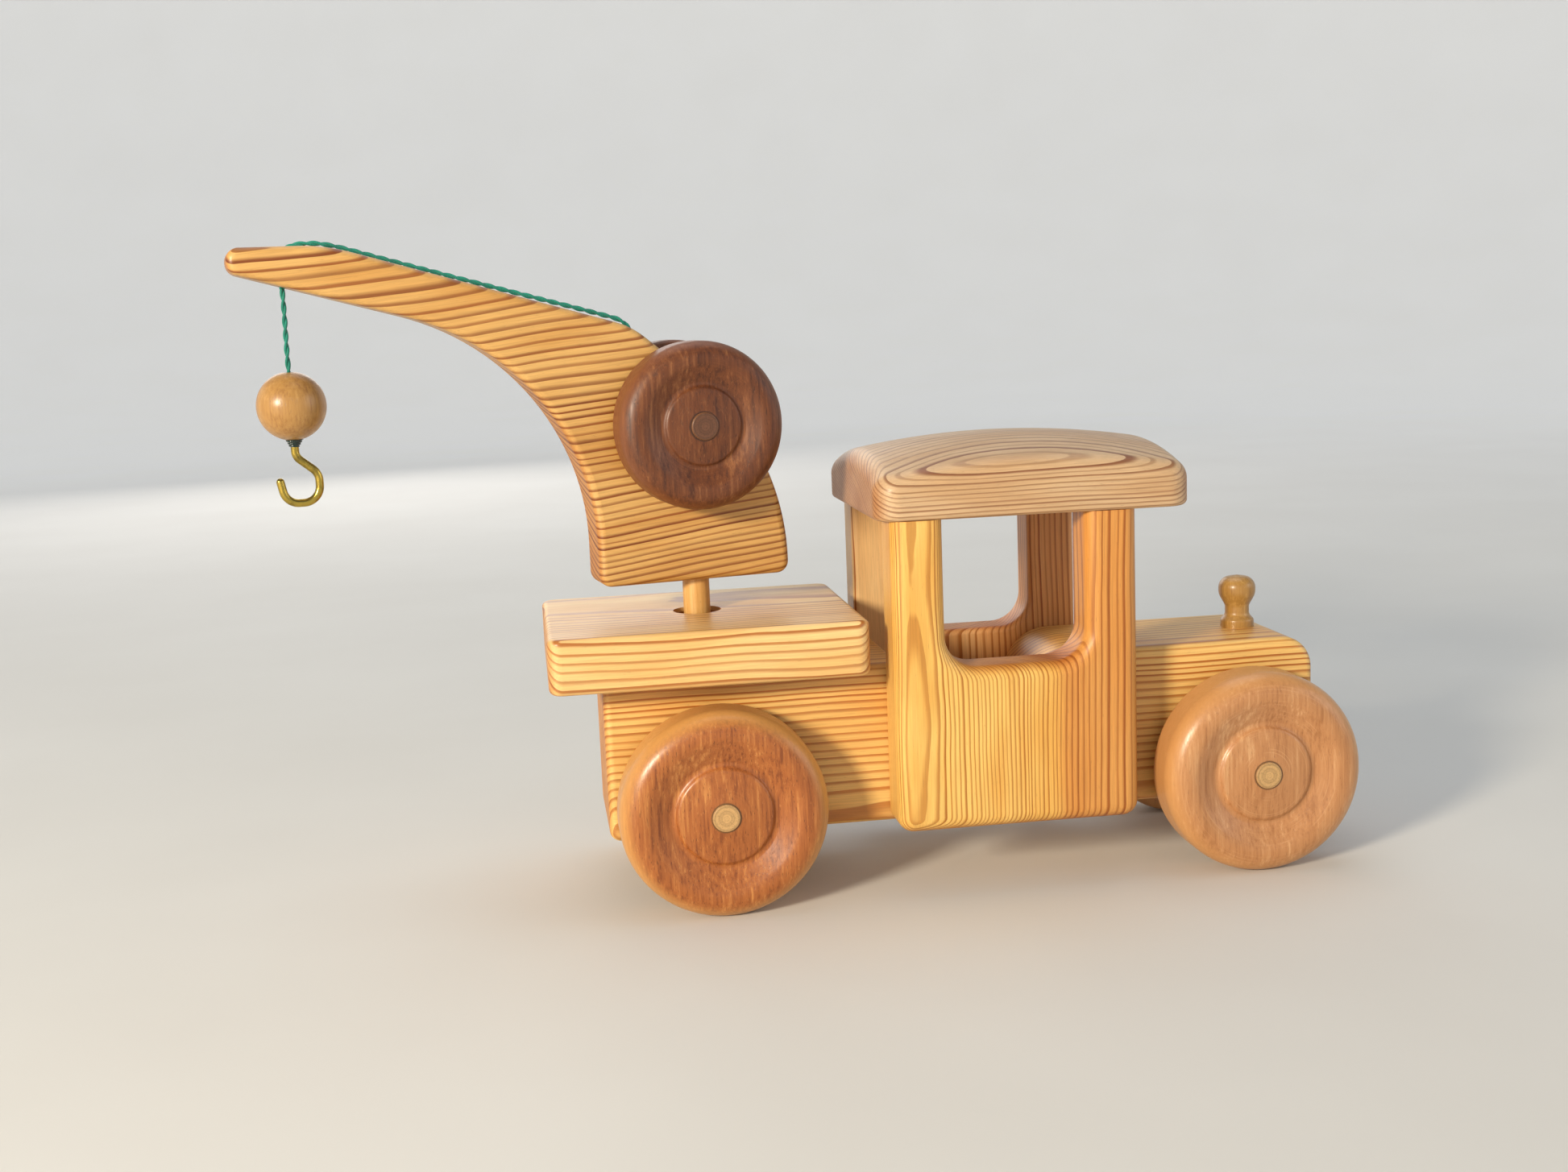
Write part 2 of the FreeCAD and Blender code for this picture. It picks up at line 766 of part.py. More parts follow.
def make_winch():
    """The winch axle, its two hand wheels and the line wound on it."""
    half_board = "board_thickness / 2"
    axle = make_cross_axle("winch_axle", "board_thickness + 2 * (winch_side_gap + wheel_width * winch_scale)")
    place_on_crane(axle, "-winch_along", "0", "winch_height")
    right = make_wheel("winch_wheel_right", "winch_scale")
    place_on_crane(right, "-winch_along", f"-{half_board} - winch_side_gap", "winch_height", "180")
    left = make_wheel("winch_wheel_left", "winch_scale")
    place_on_crane(left, "-winch_along", f"{half_board} + winch_side_gap", "winch_height")

    winding = new_body("line_on_drum")
    inner = "dowel_diameter / 2 + glue_gap"
    outer = "dowel_diameter / 2 + line_diameter"
    half = "winding_width / 2"
    turned(
        winding,
        [
            (inner, f"-{half}", "0"),
            (outer, f"-{half}", "winding_round"),
            (outer, half, "winding_round"),
            (inner, half, "0"),
        ],
    )
    place_on_crane(winding, "-winch_along", "0", "winch_height")
    return [axle, right, left, winding]


# Line and hook


def rounded_path(route):
    """A wire along a route in the boom's plane: straight runs joined by tangent arcs."""
    points = [Vector(along, height, 0) for along, height, _ in route]
    edges = []
    at = points[0]
    for before, corner, after, (_, _, radius) in zip(points, points[1:], points[2:], route[1:]):
        start, end, arc, _ = corner_arc(before, corner, after, radius)
        edges.append(Part.LineSegment(at, start).toShape())
        edges.append(arc.toShape())
        at = end
    edges.append(Part.LineSegment(at, points[-1]).toShape())
    wire = Part.Wire(Part.__sortEdges__(edges))
    wire.rotate(Vector(), Vector(1, 0, 0), 90)
    return wire


def add_bar(name, route, diameter, round_end=False):
    """A round bar along a route, turned with the crane. Its volume must be its section times its length."""
    wire = rounded_path(route)
    first, second = [Vector(along, 0, height) for along, height, _ in route[:2]]
    section = Part.Wire(Part.makeCircle(diameter / 2, first, second - first))
    bar = wire.makePipeShell([section], True, False)
    if abs(bar.Volume / (wire.Length * math.pi * diameter**2 / 4) - 1) > 0.01:
        raise RuntimeError(f"{name}: the volume is not the section times the length")
    if round_end:
        along, height, _ = route[-1]
        bar = bar.fuse(Part.makeSphere(diameter / 2, Vector(along, 0, height))).removeSplitter()
    feature = doc.addObject("Part::Feature", name)
    feature.Label = name
    feature.Shape = bar
    place_on_crane(feature)
    print(name, "length", round(wire.Length, 2), "radii", [radius for _, _, radius in route[1:-1]])
    return feature


def make_hanging_line():
    """The free line from the boom's underside into the bead."""
    line = doc.addObject("Part::Cylinder", "line_hanging")
    line.Label = "line_hanging"
    top = "line_hole_under_height - line_end_gap"
    bind(line, Radius="line_diameter / 2", Height=f"{top} - line_end_height")
    place_on_crane(line, "-line_hole_under_along", "0", "line_end_height")
    return line


def make_bead():
    """A bored wooden ball, flat where the bore breaks out."""
    ball = doc.addObject("Part::Sphere", "bead_ball")
    latitude = "acos(bead_flat_radius / bead_radius)"
    bind(ball, Radius="bead_radius", Angle1=f"-{latitude}", Angle2=latitude)
    bore = doc.addObject("Part::Cylinder", "bead_bore")
    bind(bore, Radius="bead_bore_radius", Height="2 * bead_radius", Placement__Base__z="-bead_radius")
    bead = doc.addObject("Part::Cut", "hook_bead")
    bead.Label = "hook_bead"
    bead.Base = ball
    bead.Tool = bore
    place_on_crane(bead, "-line_hole_under_along", "0", "bead_height")
    return bead


def make_knot():
    """The glued knot under the bead, tapering down the hook's shank."""
    knot = doc.addObject("Part::Cone", "line_knot")
    knot.Label = "line_knot"
    bind(knot, Radius1="knot_bottom_radius", Radius2="knot_top_radius", Height="knot_length")
    bead_half = "sqrt(bead_radius ^ 2 - bead_flat_radius ^ 2)"
    place_on_crane(knot, "-line_hole_under_along", "0", f"bead_height - {bead_half} - knot_length")
    return knot


def make_line_and_hook():
    return [
        add_bar("line_on_boom", LINE_ROUTE, number("line_diameter")),
        make_hanging_line(),
        make_bead(),
        make_knot(),
        add_bar("hook", HOOK_ROUTE, number("hook_wire_diameter"), round_end=True),
    ]


# The whole truck


def build():
    fill_sheet()
    nodes = [make_chassis_beam(), make_platform()]
    nodes += [make_cab_side("cab_side_right", -1), make_cab_side("cab_side_left", 1)]
    nodes += [make_roof(), make_radiator_cap()]
    nodes += make_all_pegs()
    nodes += make_road_wheels("front", "rear_axle_x + wheelbase")
    nodes += make_road_wheels("rear", "rear_axle_x")
    nodes += [make_crane_boom(), make_crane_post()]
    nodes += make_winch()
    nodes += make_line_and_hook()
    doc.recompute()
    return nodes


def check(nodes):
    """Stop if any object failed to compute or any node's shape is bad."""
    for thing in doc.Objects:
        if "Invalid" in thing.State or "Error" in thing.State:
            raise RuntimeError(f"{thing.Name} failed: {thing.State}")
    for node in nodes:
        if node.Shape.isNull() or not node.Shape.isValid():
            raise RuntimeError(f"{node.Label} has a bad shape")


def export(nodes):
    os.makedirs("parts", exist_ok=True)
    for node in nodes:
        node.Shape.exportStep(f"parts/{node.Label}.step")
        print(node.Label, len(node.Shape.Solids), "solid(s)", round(node.Shape.Volume), "mm3")


nodes = build()
check(nodes)
export(nodes)
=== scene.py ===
import json
import math

import bmesh
import bpy
from mathutils import Matrix, Vector


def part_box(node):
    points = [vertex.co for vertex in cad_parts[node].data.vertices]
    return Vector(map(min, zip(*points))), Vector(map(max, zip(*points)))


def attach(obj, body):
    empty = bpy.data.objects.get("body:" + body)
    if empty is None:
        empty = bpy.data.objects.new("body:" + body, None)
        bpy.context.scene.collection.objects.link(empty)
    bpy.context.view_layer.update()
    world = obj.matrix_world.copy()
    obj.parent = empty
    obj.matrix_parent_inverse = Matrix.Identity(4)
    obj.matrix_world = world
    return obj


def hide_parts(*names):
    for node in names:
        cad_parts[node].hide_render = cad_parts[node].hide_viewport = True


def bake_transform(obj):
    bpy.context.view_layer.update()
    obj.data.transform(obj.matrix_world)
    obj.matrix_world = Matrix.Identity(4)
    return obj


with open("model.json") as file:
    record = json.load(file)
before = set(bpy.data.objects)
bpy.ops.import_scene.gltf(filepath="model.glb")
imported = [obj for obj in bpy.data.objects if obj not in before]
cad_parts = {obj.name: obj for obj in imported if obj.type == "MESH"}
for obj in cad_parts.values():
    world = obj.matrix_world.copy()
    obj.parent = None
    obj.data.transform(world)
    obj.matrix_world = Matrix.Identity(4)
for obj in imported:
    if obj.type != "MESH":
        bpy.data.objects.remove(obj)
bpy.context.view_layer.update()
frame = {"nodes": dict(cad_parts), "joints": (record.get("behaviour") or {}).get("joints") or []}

# The CAD's pieces keep their meshes and get wood and brass. The line's plain tubes are replaced
# by two twisted strands, and its knot by a cone of close turns.

MM = 0.001
UPRIGHT = Vector((0, 0, 1))
JOINTS = {joint["name"]: joint for joint in frame["joints"]}
# the Mix node has a set of sockets for each kind of data, and these are the ones for colours
MIX_FACTOR, MIX_A, MIX_B, MIX_RESULT = 0, 6, 7, 2


# ---------------------------------------------------------------- small tools

def colour(code):
    """Linear red, green, blue and alpha of a colour written as six hex digits."""
    channels = [int(code[start:start + 2], 16) / 255 for start in (0, 2, 4)]
    linear = [((c + 0.055) / 1.055) ** 2.4 if c > 0.04045 else c / 12.92 for c in channels]
    return (*linear, 1.0)


def middle(node):
    """Centre of a CAD node's box."""
    low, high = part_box(node)
    return (low + high) / 2


def joint_point(name):
    return Vector(JOINTS[name]["pos_m"])


def joint_axis(name):
    return Vector(JOINTS[name]["axis"]).normalized()


def crane_reach():
    """The level direction forward from the post, in the crane's own upright plane. The boom
    points the other way."""
    swing = joint_axis("winch_spin")
    return Vector((swing.y, -swing.x, 0.0))


def square_to(direction, axis):
    """The part of a direction that is square to an axis, at length one."""
    return (direction - axis * direction.dot(axis)).normalized()


class Recipe:
    """A material's node tree, built from its texture coordinates to its surface."""

    def __init__(self, name):
        self.material = bpy.data.materials.new(name)
        self.material.use_nodes = True
        self.tree = self.material.node_tree
        self.tree.nodes.clear()
        self.where = self.node("ShaderNodeTexCoord")

    def node(self, kind, inputs=None, **settings):
        made = self.tree.nodes.new(kind)
        for setting, value in settings.items():
            setattr(made, setting, value)
        for key, value in (inputs or {}).items():
            if isinstance(value, bpy.types.NodeSocket):
                self.tree.links.new(value, made.inputs[key])
            else:
                made.inputs[key].default_value = value
        return made

    def calculate(self, operation, *terms):
        return self.node("ShaderNodeMath", dict(enumerate(terms)), operation=operation).outputs[0]

    def add(self, a, b):
        return self.calculate("ADD", a, b)

    def times(self, a, b):
        return self.calculate("MULTIPLY", a, b)

    def less(self, a, b):
        return self.calculate("SUBTRACT", a, b)

    def step(self, value, start, end, low=0.0, high=1.0):
        """A smooth step of the value, from low before start to high after end."""
        names = {"Value": value, "From Min": start, "From Max": end, "To Min": low, "To Max": high}
        return self.node("ShaderNodeMapRange", names, interpolation_type="SMOOTHSTEP").outputs[0]

    def place(self, centre):
        """The point on the piece, in millimetres from a centre that is given in metres."""
        object_point = self.where.outputs["Object"]
        moved = self.node("ShaderNodeVectorMath", {0: object_point, 1: centre}, operation="SUBTRACT")
        scaled = {0: moved.outputs[0], "Scale": 1 / MM}
        return self.node("ShaderNodeVectorMath", scaled, operation="SCALE").outputs[0]

    def along(self, vector, axis):
        dotted = self.node("ShaderNodeVectorMath", {0: vector, 1: axis}, operation="DOT_PRODUCT")
        return dotted.outputs["Value"]

    def vector(self, x, y, z):
        return self.node("ShaderNodeCombineXYZ", {0: x, 1: y, 2: z}).outputs[0]

    def stretched(self, along, across, size):
        """A place for noise whose features have a size from FIGURE_SIZES, or a length and width
        given in millimetres."""
        length, width = FIGURE_SIZES.get(size, size)
        first, second = (self.times(part, 1 / width) for part in across)
        return self.vector(self.times(along, 1 / length), first, second)

    def noise(self, vector, detail=2.0, roughness=0.5, scale=1.0):
        """Noise from 0 to 1, with a mean of one half."""
        inputs = {"Vector": vector, "Scale": scale, "Detail": detail, "Roughness": roughness}
        return self.node("ShaderNodeTexNoise", inputs).outputs["Fac"]

    def line_noise(self, value, detail=2.0):
        inputs = {"W": value, "Scale": 1.0, "Detail": detail}
        return self.node("ShaderNodeTexNoise", inputs, noise_dimensions="1D").outputs["Fac"]

    def chance(self, value):
        """A number from 0 to 1 that differs for each whole value."""
        inputs = {"W": value}
        return self.node("ShaderNodeTexWhiteNoise", inputs, noise_dimensions="1D").outputs["Value"]

    def mix(self, factor, a, b, blend="MIX"):
        inputs = {MIX_FACTOR: factor, MIX_A: a, MIX_B: b}
        made = self.node("ShaderNodeMix", inputs, data_type="RGBA", blend_type=blend)
        return made.outputs[MIX_RESULT]

    def shade(self, base, amount):
        """The colour made darker or lighter by an amount around 1."""
        grey = self.vector(amount, amount, amount)
        return self.mix(1.0, base, grey, "MULTIPLY")

    def edge(self, radius_mm):
        """1 on the piece's edges and 0 on its faces."""
        rounded = self.node("ShaderNodeBevel", {"Radius": radius_mm * MM}, samples=4)
        plain = self.node("ShaderNodeNewGeometry")
        normals = {0: rounded.outputs[0], 1: plain.outputs["Normal"]}
        alike = self.node("ShaderNodeVectorMath", normals, operation="DOT_PRODUCT")
        return self.step(alike.outputs["Value"], 0.995, 0.9)

    def relief(self, height, depth_mm, strength=0.5, under=None):
        inputs = {"Height": height, "Distance": depth_mm * MM, "Strength": strength}
        if under is not None:
            inputs["Normal"] = under
        return self.node("ShaderNodeBump", inputs).outputs[0]

    def surface(self, **inputs):
        """Ends the recipe with the Principled surface, whose inputs are named with underscores."""
        named = {key.replace("_", " "): value for key, value in inputs.items()}
        shader = self.node("ShaderNodeBsdfPrincipled", named)
        self.node("ShaderNodeOutputMaterial", {"Surface": shader.outputs[0]})
        return self.material


def paint(material, *nodes):
    """Gives CAD nodes or pieces a material in every slot."""
    for node in nodes:
        piece = frame["nodes"][node] if isinstance(node, str) else node
        if not piece.material_slots:
            piece.data.materials.append(material)
        for material_slot in piece.material_slots:
            material_slot.link = "OBJECT"
            material_slot.material = material


# ---------------------------------------------------------------- wood

# lengths along the grain and widths across it, in millimetres
FIGURE_SIZES = {
    "wander": (90, 38),
    "ripple": (24, 7),
    "fibre": (16, 0.42),
    "resin_canal": (3.2, 0.3),
    "pine_tone": (60, 14),
    "hardwood_tone": (55, 8),
    "pore": (2.6, 0.33),
    "painted_pore_glint": (1.6, 0.42),
}
RIPPLE_HEIGHT = 0.5
OUTER_DEPTH = 30
UNEVEN_YEARS = 1.6
PINE_HEART, PINE_HEART_LINE = "C97F3C", "8E4516"
PINE_END_TINT, PINE_EDGE_TINT = "CC935C", "A8672F"
# the next colour is painted shade: the dark of the gap between wheel and dowel
HUB_GAP_SHADE = "1E0F07"
BOOM_GRAIN_SLOPE = math.radians(6)
PALE_DOWEL = ("B98A55", "CFA670", "E2C594")
WHEEL_RADIUS, DOWEL_RADIUS = 37.5, 5.0
WINCH_WHEEL_RADIUS = 30
DOWEL_RIM = 5.2
OFF_GRAIN = (0.31, 0.87, 0.38)      # any direction that no hardwood grain runs in


def grain_axes(grain, up):
    """Three unit directions: along the grain, out through the rings, and across both."""
    grain = Vector(grain).normalized()
    up = square_to(Vector(up), grain)
    return grain, up, grain.cross(up)


def pine_years(recipe, along, out, side, pith, ring_width, outer_ring_width, waver):
    """The number of years grown at a point, and the point's distance out from the board's
    centre. Rings are round a pith line that runs along the grain, pith mm under the centre.
    They are ring_width wide at the centre and outer_ring_width wide at OUTER_DEPTH from it."""
    from_pith = recipe.add(out, pith)
    squared = recipe.add(recipe.times(from_pith, from_pith), recipe.times(side, side))
    radius = recipe.calculate("SQRT", squared)
    wander = recipe.noise(recipe.stretched(along, (out, side), "wander"), 1.0)
    ripple = recipe.noise(recipe.stretched(along, (out, side), "ripple"), 2.0)
    radius = recipe.add(radius, recipe.times(wander, waver * 2))
    radius = recipe.add(radius, recipe.times(ripple, RIPPLE_HEIGHT))
    rate = 1 / ring_width
    growth = (1 / outer_ring_width - rate) / OUTER_DEPTH
    depth = recipe.less(radius, pith)
    years = recipe.times(depth, recipe.add(recipe.times(depth, growth / 2), rate))
    uneven = recipe.line_noise(recipe.times(years, 0.21), 1.0)
    return recipe.add(years, recipe.times(uneven, UNEVEN_YEARS)), depth


def pine(name, centre, grain, ring_up, pith, ring_width, outer_ring_width=None, waver=1.5,
         early="E6C48C", middling="DCB074", late="A9692C", late_pale="BF8440", heart=None,
         first_season=0.0):
    """Oiled pine board. ring_up points out through the rings. Wood that lies between the two
    depths of heart turns to the redder heartwood. first_season is the part of a year by which
    the rings are moved on."""
    recipe = Recipe(name)
    grain, up, side = grain_axes(grain, ring_up)
    point = recipe.place(centre)
    a, b, c = (recipe.along(point, axis) for axis in (grain, up, side))
    years, depth = pine_years(
        recipe, a, b, c, pith, ring_width, outer_ring_width or ring_width, waver)
    years = recipe.add(years, first_season)
    year = recipe.calculate("FLOOR", years)
    season = recipe.calculate("FRACT", years)
    vigour = recipe.chance(year)
    onset = recipe.add(0.36, recipe.times(vigour, 0.26))
    autumn = recipe.step(season, onset, 0.82)
    spring = recipe.step(season, 1.0, 0.95)
    strength = recipe.add(0.62, recipe.times(recipe.chance(recipe.add(year, 0.5)), 0.38))
    latewood = recipe.times(recipe.times(autumn, spring), strength)

    # the fibres, the resin canals and the broad changes of colour
    fibre = recipe.noise(recipe.stretched(a, (b, c), "fibre"), 3.0, 0.65)
    canal = recipe.step(recipe.noise(recipe.stretched(a, (b, c), "resin_canal"), 1.0), 0.7, 0.78)
    broad = recipe.noise(recipe.stretched(a, (b, c), "pine_tone"), 2.0)
    body = recipe.mix(recipe.step(broad, 0.3, 0.72), colour(early), colour(middling))
    dark = recipe.mix(vigour, colour(late), colour(late_pale))
    if heart is not None:
        redder = recipe.step(depth, heart[0], heart[1])
        body = recipe.mix(recipe.times(redder, 0.7), body, colour(PINE_HEART))
        dark = recipe.mix(recipe.times(redder, 0.6), dark, colour(PINE_HEART_LINE))
    wood = recipe.mix(latewood, body, dark)
    wood = recipe.shade(wood, recipe.step(fibre, 0.25, 0.75, 0.88, 1.1))
    wood = recipe.shade(wood, recipe.step(canal, 0.0, 1.0, 1.0, 0.8))

    # end grain drinks the oil, and handled edges are a little darker
    facing = recipe.calculate("ABSOLUTE", recipe.along(recipe.where.outputs["Normal"], grain))
    end_grain = recipe.step(facing, 0.45, 0.98)
    soaked = recipe.mix(1.0, wood, colour(PINE_END_TINT), "MULTIPLY")
    wood = recipe.mix(recipe.times(end_grain, 0.55), wood, soaked)
    edge = recipe.edge(2.2)
    wood = recipe.mix(recipe.times(edge, 0.1), wood, colour(PINE_EDGE_TINT))

    height = recipe.add(recipe.times(latewood, 0.8), recipe.times(fibre, 0.5))
    height = recipe.less(height, recipe.times(canal, 0.5))
    polish = recipe.less(recipe.step(fibre, 0.2, 0.8, 0.5, 0.38), recipe.times(latewood, 0.08))
    polish = recipe.add(polish, recipe.times(end_grain, 0.12))
    return recipe.surface(
        Base_Color=wood,
        Roughness=polish,
        Specular_IOR_Level=0.4,
        Coat_Weight=0.1,
        Coat_Roughness=0.3,
        Normal=recipe.relief(height, 0.1, 0.6),
    )


def hardwood(name, centre, grain, turned_about, dark, mid, light, figure=1.0, pores=0.5, scuffs=0.4,
             rim=None, rim_colour="C98A4A", rim_width=4.0, hub=None, end_colour=None, streak=1.1,
             gloss=0.36, coat=0.12):
    """Close hardwood, turned or cut round: streaks and pores along the grain, and turning marks
    round an axis. rim is the radius at which the wood has changed to rim_colour, and hub is the
    radius of the dowel, ringed by a thin painted shade for the gap, both in millimetres."""
    recipe = Recipe(name)
    axis = Vector(turned_about).normalized()
    grain, up, side = grain_axes(grain, OFF_GRAIN)
    point = recipe.place(centre)
    a, b, c = (recipe.along(point, direction) for direction in (grain, up, side))
    depth = recipe.along(point, axis)
    squared = recipe.less(recipe.along(point, point), recipe.times(depth, depth))
    radius = recipe.calculate("SQRT", recipe.calculate("MAXIMUM", squared, 0.0))

    tone_share = 0.55 * figure
    streaks = recipe.noise(recipe.stretched(a, (b, c), (24, streak)), 4.0, 0.62)
    broad = recipe.noise(recipe.stretched(a, (b, c), "hardwood_tone"), 3.0)
    tone = recipe.add(recipe.times(streaks, tone_share), recipe.times(broad, 1 - tone_share))
    wood = recipe.mix(recipe.step(tone, 0.3, 0.52), colour(dark), colour(mid))
    wood = recipe.mix(recipe.step(tone, 0.5, 0.7), wood, colour(light))

    # open pores: short dark dashes, with light flecks of painted highlight beside them for the light their
    # sides catch
    pore = recipe.step(recipe.noise(recipe.stretched(a, (b, c), "pore"), 1.0), 0.63, 0.74)
    wood = recipe.shade(wood, recipe.step(pore, 0.0, 1.0, 1.0, 1 - 0.5 * pores))
    # painted highlight: random short dashes mixed towards the light colour stand for glints at the pores
    painted_pore_glint = recipe.step(recipe.noise(recipe.stretched(a, (b, c), "painted_pore_glint"), 0.0), 0.7, 0.8)
    wood = recipe.mix(recipe.times(painted_pore_glint, 0.35 * pores), wood, colour(light))

    # turning marks, broken up round the piece
    ridges = recipe.line_noise(recipe.times(radius, 1.6), 3.0)
    broken = recipe.step(recipe.noise(point, 2.0, 0.5, 1 / 9), 0.42, 0.62)
    scuff = recipe.times(recipe.step(ridges, 0.55, 0.72), broken)
    wood = recipe.mix(recipe.times(scuff, scuffs * 0.5), wood, colour(light))

    if end_colour is not None:
        facing = recipe.calculate("ABSOLUTE", recipe.along(recipe.where.outputs["Normal"], grain))
        wood = recipe.mix(recipe.step(facing, 0.6, 0.95), wood, colour(end_colour))
        end_rings = recipe.line_noise(recipe.times(radius, 1.3), 2.0)
        wood = recipe.shade(wood, recipe.step(end_rings, 0.3, 0.7, 0.72, 1.1))
        open_grain = recipe.step(recipe.noise(point, 2.0, 0.6, 2.2), 0.5, 0.66)
        wood = recipe.shade(wood, recipe.step(open_grain, 0.0, 1.0, 1.0, 0.78))
    if rim is not None:
        wood = recipe.mix(recipe.step(radius, rim - rim_width, rim, 0.0, 0.75), wood, colour(rim_colour))
    if hub is not None:
        # painted shade: a thin dark ring just outside the dowel stands for the shade in the gap
        painted_gap_shade = recipe.step(radius, hub + 0.75, hub + 0.1)
        wood = recipe.mix(recipe.times(painted_gap_shade, 0.9), wood, colour(HUB_GAP_SHADE))
    edge = recipe.edge(1.2)
    wood = recipe.mix(recipe.times(edge, 0.25), wood, colour(rim_colour))

    height = recipe.less(recipe.times(streaks, 0.6), recipe.times(pore, 0.8))
    height = recipe.add(height, recipe.times(recipe.times(ridges, 0.5), scuffs))
    polish = recipe.add(recipe.step(streaks, 0.2, 0.8, gloss + 0.06, gloss - 0.06), recipe.times(scuff, 0.1))
    return recipe.surface(
        Base_Color=wood,
        Roughness=polish,
        Specular_IOR_Level=0.45,
        Coat_Weight=coat,
        Coat_Roughness=0.25,
        Normal=recipe.relief(height, 0.07, 0.5),
    )


def paint_boards():
    """Each pine board is cut from its own place in the log."""
    boom_grain = crane_reach() * math.cos(BOOM_GRAIN_SLOPE) + UPRIGHT * math.sin(BOOM_GRAIN_SLOPE)
    boards = {
        "chassis_beam": dict(
            grain=(1, 0, 0), ring_up=(0, 0.85, 0.53), pith=52, ring_width=2.5, waver=1.2,
            early="E6BC70", middling="DBA658", late="A35A1C", late_pale="B8722E"),
        "platform": dict(
            grain=(1, 0.01, 0.012), ring_up=(0, -0.34, 0.94), pith=70, ring_width=2.1, waver=1.8,
            early="EAC688", middling="E0B26E", late="9E5A24", late_pale="B67A3E"),
        "cab_side_right": dict(
            grain=(0.012, 0, 1), ring_up=(0.735, 0.678, 0), pith=53, ring_width=1.35,
            outer_ring_width=2.7, waver=2.0, heart=(7, 14), early="EBC06C", middling="DDA650",
            late="A5641E", late_pale="B87A30", first_season=0.8),
        "cab_side_left": dict(
            grain=(-0.02, 0, 1), ring_up=(0.62, -0.78, 0), pith=58, ring_width=1.8, waver=2.0,
            heart=(-8, 20), late="9C5A22"),
        "cab_roof": dict(
            grain=(1, 0, 0.012), ring_up=(0, -0.339, 0.941), pith=183, ring_width=1.4, waver=1.0,
            early="CFB08A", middling="C09A70", late="855638", late_pale="A07A54"),
        "crane_boom": dict(
            grain=boom_grain, ring_up=(0, 0.35, -0.93), pith=150, ring_width=2.9,
            outer_ring_width=2.6, waver=2.6, early="D2A663", middling="C2904C", late="74380F",
            late_pale="8E4E1C"),
    }
    for node, cut in boards.items():
        paint(pine("pine_" + node, centre=middle(node), **cut), node)


def paint_turned_pieces():
    for end, about in (("rear", "rear_axle_spin"), ("front", "front_axle_spin")):
        axis = joint_axis(about)
        if end == "rear":
            look = dict(
                dark="743A18", mid="A25E2C", light="C68648", rim_colour="D09A55", scuffs=0.2,
                pores=1.0, figure=1.15)
        else:
            look = dict(
                dark="9E683C", mid="B98253", light="D2A272", rim_colour="CC9458", scuffs=0.8,
                pores=0.4)
        for hand in ("right", "left"):
            node = f"{end}_wheel_{hand}"
            made = hardwood(
                "wheel_" + node, middle(node), UPRIGHT, axis, rim=WHEEL_RADIUS, rim_width=6,
                hub=DOWEL_RADIUS, gloss=0.34, **look)
            paint(made, node)
        node = f"{end}_axle"
        made = hardwood(
            "dowel_" + node, middle(node), axis, axis, *PALE_DOWEL, pores=0.3, scuffs=0.6,
            end_colour="C69E68", rim=DOWEL_RIM, rim_width=0.7, rim_colour="7C4F28",
            gloss=0.45, coat=0.03)
        paint(made, node)

    winch_axis = joint_axis("winch_spin")
    for hand in ("right", "left"):
        node = f"winch_wheel_{hand}"
        made = hardwood(
            "wheel_" + node, middle(node), UPRIGHT, winch_axis, "42200F", "653619", "8E5A34",
            rim=WINCH_WHEEL_RADIUS, rim_width=3, rim_colour="7C4A2A", hub=DOWEL_RADIUS, pores=1.0,
            scuffs=0.35, gloss=0.47, coat=0.04, streak=1.4, figure=1.15)
        paint(made, node)
    made = hardwood(
        "dowel_winch", joint_point("winch_spin"), winch_axis, winch_axis, "3F1D0E", "5C2E17",
        "7C4424", end_colour="64402B", rim=DOWEL_RIM, rim_width=0.5, rim_colour="9A7048", pores=0.8,
        gloss=0.38)
    paint(made, "winch_axle")
    made = hardwood(
        "dowel_post", middle("crane_post"), UPRIGHT, UPRIGHT, "BE8640", "D2A05A", "E3BE80", pores=0.3,
        scuffs=0.5, gloss=0.38)
    paint(made, "crane_post")
    made = hardwood(
        "turned_cap", middle("radiator_cap"), UPRIGHT, UPRIGHT, "86602A", "A67C3E", "C39A58",
        pores=0.35, scuffs=0.7, streak=0.8, gloss=0.33, coat=0.2)
    paint(made, "radiator_cap")
    made = hardwood(
        "turned_bead", middle("hook_bead"), UPRIGHT, UPRIGHT, "8E6233", "A97E45", "C0975E",
        pores=0.35, scuffs=0.3, streak=0.9, gloss=0.34, coat=0.18)
    paint(made, "hook_bead")
    for node in ("platform_pegs", "cab_side_pegs", "roof_pegs"):
        made = hardwood(
            "dowel_" + node, middle(node), UPRIGHT, UPRIGHT, *PALE_DOWEL, pores=0.3)
        paint(made, node)


# ---------------------------------------------------------------- brass

